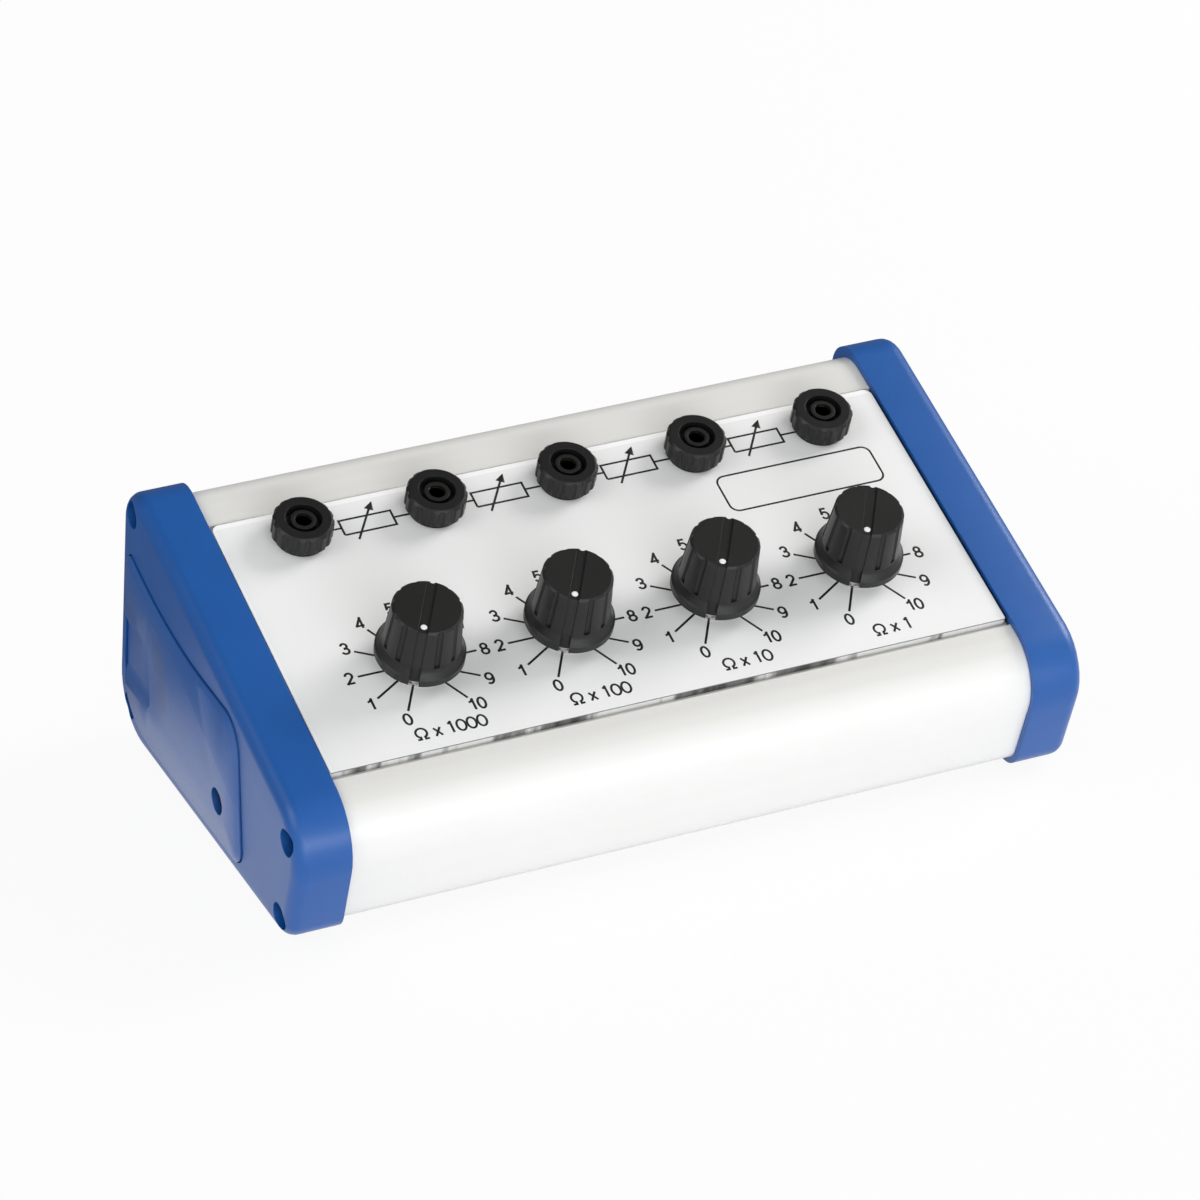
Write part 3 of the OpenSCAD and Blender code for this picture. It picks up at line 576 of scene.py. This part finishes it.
dot_sides = 32
dot_rings = 6
dome_points = []
for ring in range(dot_rings):
    rise = math.radians(90) * ring / dot_rings
    reach = dot_radius * math.cos(rise)
    for side in range(dot_sides):
        angle = math.radians(360) * side / dot_sides
        dome_points.append((reach * math.cos(angle), reach * math.sin(angle), dot_radius * math.sin(rise)))
dome_points.append((0, 0, dot_radius))
tip = len(dome_points) - 1
dome_faces = [tuple(reversed(range(dot_sides)))]
for start in range(0, tip, dot_sides):
    for side in range(dot_sides):
        here = start + side
        beside = start + (side + 1) % dot_sides
        over = (beside + dot_sides, here + dot_sides) if start + dot_sides < tip else (tip,)
        dome_faces.append((here, beside) + over)

for i, point in enumerate(dial_points):
    mesh = bpy.data.meshes.new(f"pointer_dot_{i + 1}")
    mesh.from_pydata(dome_points, [], dome_faces)
    mesh.shade_smooth()
    mesh.materials.append(dot_white)
    dot = bpy.data.objects.new(f"pointer_dot_{i + 1}", mesh)
    bpy.context.scene.collection.objects.link(dot)
    spot = point + pointer * dot_reach + normal * (knob_top - channel_depth)
    flat = Matrix.Diagonal((1, 1, dot_height / dot_radius, 1))
    dot.matrix_world = Matrix.Translation(spot) @ panel_axes @ flat
    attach(dot, f"dial_{i + 1}")


# Deep blue end cheeks, moulded hollow with a fine spark grain and held to the ends of the case by
# blackened socket screws. Their fillets run smoothly into their flats and catch a soft line of light.

# Painted shade darkens the blue in the screw wells and other narrow hollows.
cheek_blue = moulding("cheek_blue", (0.003, 0.078, 0.315, 1), (0.005, 0.089, 0.35, 1), roughness=0.36,
                      grain_size=0.00035, grain_depth=0.00003, edge=0.0003,
                      specular=0.42, hollow=0.006, coat=0.2)
paint(cheek_blue, "left_cheek", "right_cheek")

mould_corner = math.radians(35)
soft_curves = bpy.data.node_groups.new("soft_curves", "GeometryNodeTree")
for way in ("INPUT", "OUTPUT"):
    soft_curves.interface.new_socket("Mesh", in_out=way, socket_type="NodeSocketGeometry")
mesh_in = Field(soft_curves.nodes.new("NodeGroupInput").outputs[0])
joined = mesh_in.node("GeometryNodeMergeByDistance", {}, {"Geometry": mesh_in, "Distance": same_point})
bare = joined.node("GeometryNodeRemoveAttribute", {}, {"Geometry": joined, "Name": "custom_normal"})
rounded = bare.node("GeometryNodeSetShadeSmooth", {"domain": "FACE"}, {"Geometry": bare})
bend = rounded.node("GeometryNodeInputMeshEdgeAngle")
rounded = rounded.node("GeometryNodeSetShadeSmooth", {"domain": "EDGE"},
                       {"Geometry": rounded, "Shade Smooth": bend < mould_corner})
mesh_out = soft_curves.nodes.new("NodeGroupOutput")
soft_curves.links.new(rounded.socket, mesh_out.inputs[0])
for name in ("left_cheek", "right_cheek", "left_grip_pad", "right_grip_pad"):
    frame["nodes"][name].modifiers.new("soft_curves", "NODES").node_group = soft_curves

screw_black = metal("screw_black", (0.03, 0.03, 0.032, 1), (0.05, 0.05, 0.053, 1), roughness=0.35)
paint(screw_black, "cheek_screws", "grip_pad_screws")


# A softer pad of the same blue let into each cheek and held by one screw. It is bevelled all round,
# falls away a little above a crease, and has a hollow at its rear for the fingers.

pad_low = (0.007, 0.080, 0.31, 1)
pad_high = (0.010, 0.091, 0.345, 1)
pad_shade = (0.0004, 0.004, 0.016, 1)
shade_reach = 0.006
pad_grain = 0.0004
pad_grain_depth = 0.00004
pad_edge = 0.0004
pad_blue, shader, place = finish("pad_blue", {"Specular IOR Level": 0.5, "Coat Weight": 0.5,
                                              "Coat Roughness": 0.3})
cloud = place.grain(mould_cloud, 3.0)
grain = place.grain(pad_grain)
colour = cloud.mix(pad_low, pad_high)
# Painted shade darkens the blue in narrow hollows, such as the gap round the pad and its screw hole.
feed(shader, {"Base Color": in_hollows(colour, pad_shade, shade_reach, hollow_closed, hollow_clear),
              "Roughness": 0.36 + 0.12 * grain})

crease_point = Vector((0, 0.0265, 0.0472))
above_crease = Vector((0, -0.442, 0.897))
fall_slope = 0.1
fall_curve = 9.0
above = place.along(above_crease) - crease_point.dot(above_crease)
above = above.math("MAXIMUM", above, 0)
shoulder = above * fall_slope + above * above * fall_curve

hollow_middle = (0.030, 0.0305)
hollow_reach = (0.0115, 0.0155)
hollow_depth = 0.0024
sideways = (place.along((0, 1, 0)) - hollow_middle[0]) * (1 / hollow_reach[0])
upward = (place.along((0, 0, 1)) - hollow_middle[1]) * (1 / hollow_reach[1])
bowl = 1 - (sideways * sideways + upward * upward)
bowl = bowl.math("MAXIMUM", bowl, 0)
relief(shader, grain * pad_grain_depth - shoulder - bowl * bowl * hollow_depth, 1.0, pad_edge)
paint(pad_blue, "left_grip_pad", "right_grip_pad")


# The box stands on a plain white table under a soft light from above on the right, with a weaker one
# on the left, a wide low one in front, and pale surroundings that darken overhead and to the rear.
# The table is white to the eye and keeps a soft shadow. In reflections it glows, with a painted pool of
# light in front and painted shade behind the box.

table_half = 4.0
mesh = bpy.data.meshes.new("table")
corners = [(-table_half, -table_half, 0), (table_half, -table_half, 0),
           (table_half, table_half, 0), (-table_half, table_half, 0)]
mesh.from_pydata(corners, [], [(0, 1, 2, 3)])
table = bpy.data.objects.new("table", mesh)
bpy.context.scene.collection.objects.link(table)
pure_white = (1, 1, 1, 1)
pool_rear = 0.12
pool_length = 0.18
white_share = 0.92
table_white, shader, place = finish("table_white", {"Base Color": (0.86, 0.86, 0.86, 1), "Roughness": 0.9,
                                                    "Specular IOR Level": 0.0})
seen = place.node("ShaderNodeLightPath", {}, {}, "Is Camera Ray")
mirrored = place.node("ShaderNodeLightPath", {}, {}, "Is Glossy Ray")
forward = (pool_rear - place.along((0, 1, 0))) * (1 / pool_length)
# Painted pool of light and painted shade for reflections: glossy rays see the table glow bright in front
# and dim behind.
pool = forward.ramp((0.0, (0.18, 0.18, 0.2, 1)), (0.15, (0.2, 0.2, 0.22, 1)),
                    (0.35, (0.75, 0.75, 0.8, 1)), (0.55, (1, 1, 1.04, 1)))
lit_white = mirrored.mix(pure_white, pool)
glow = place.node("ShaderNodeEmission", {}, {"Color": lit_white, "Strength": 1.0})
mixed = place.node("ShaderNodeMixShader", {},
                   {0: seen * white_share + mirrored, 1: Field(shader.outputs[0]), 2: glow})
output = table_white.node_tree.nodes["Material Output"]
table_white.node_tree.links.new(mixed.socket, output.inputs["Surface"])
mesh.materials.append(table_white)

surround = bpy.data.worlds.new("surround")
bpy.context.scene.world = surround
surround.use_nodes = True
sky = surround.node_tree.nodes["Background"]
way = Field(surround.node_tree.nodes.new("ShaderNodeTexCoord").outputs["Generated"])
seen = way.node("ShaderNodeLightPath", {}, {}, "Is Camera Ray")
tent_rear = (0.2, 0.195, 0.185, 1)
tent_front = (0.99, 1.0, 1.02, 1)
front_and_low = (0, -0.5, -0.4)
nearness = 0.5 + way.along(front_and_low)
tent = nearness.mix(tent_rear, tent_front)
feed(sky, {"Color": seen.mix(tent, pure_white)})

lamp_aim = Vector((0, 0, 0.03))


def softbox(name, where, width, height, watts, tint):
    """A rectangular lamp that faces the box."""
    lamp = bpy.data.lights.new(name, "AREA")
    lamp.shape = "RECTANGLE"
    lamp.size = width
    lamp.size_y = height
    lamp.energy = watts
    lamp.color = tint
    holder = bpy.data.objects.new(name, lamp)
    holder.location = where
    holder.rotation_euler = (lamp_aim - Vector(where)).to_track_quat("-Z", "Y").to_euler()
    bpy.context.scene.collection.objects.link(holder)


softbox("right_key", (1.25, 0.12, 0.84), width=0.7, height=0.7, watts=14, tint=(1, 0.99, 0.97))
softbox("left_fill", (-1.6, -0.3, 1.5), width=1.3, height=1.3, watts=12, tint=(1, 1, 1))
softbox("front_fill", (-0.1, -1.7, 0.3), width=1.6, height=0.5, watts=13, tint=(0.95, 0.98, 1))


# The camera has a long lens and stands a good metre away, to the left of the front and well above,
# as in the photograph.

aim = Vector((0.005732, 0.011021, 0.035))
distance = 1.30799
azimuth = math.radians(-24.697)
elevation = math.radians(29.559)
roll = math.radians(0.299)
lens = bpy.data.cameras.new("camera")
lens.sensor_width = 36
lens.lens = 166.1746
back = Vector((math.sin(azimuth) * math.cos(elevation),
               -math.cos(azimuth) * math.cos(elevation),
               math.sin(elevation)))
camera = bpy.data.objects.new("camera", lens)
turn = (-back).to_track_quat("-Z", "Y").to_matrix().to_4x4() @ Matrix.Rotation(roll, 4, "Z")
camera.matrix_world = Matrix.Translation(aim + back * distance) @ turn
bpy.context.scene.collection.objects.link(camera)
bpy.context.scene.camera = camera
bpy.context.scene.view_settings.view_transform = "Standard"
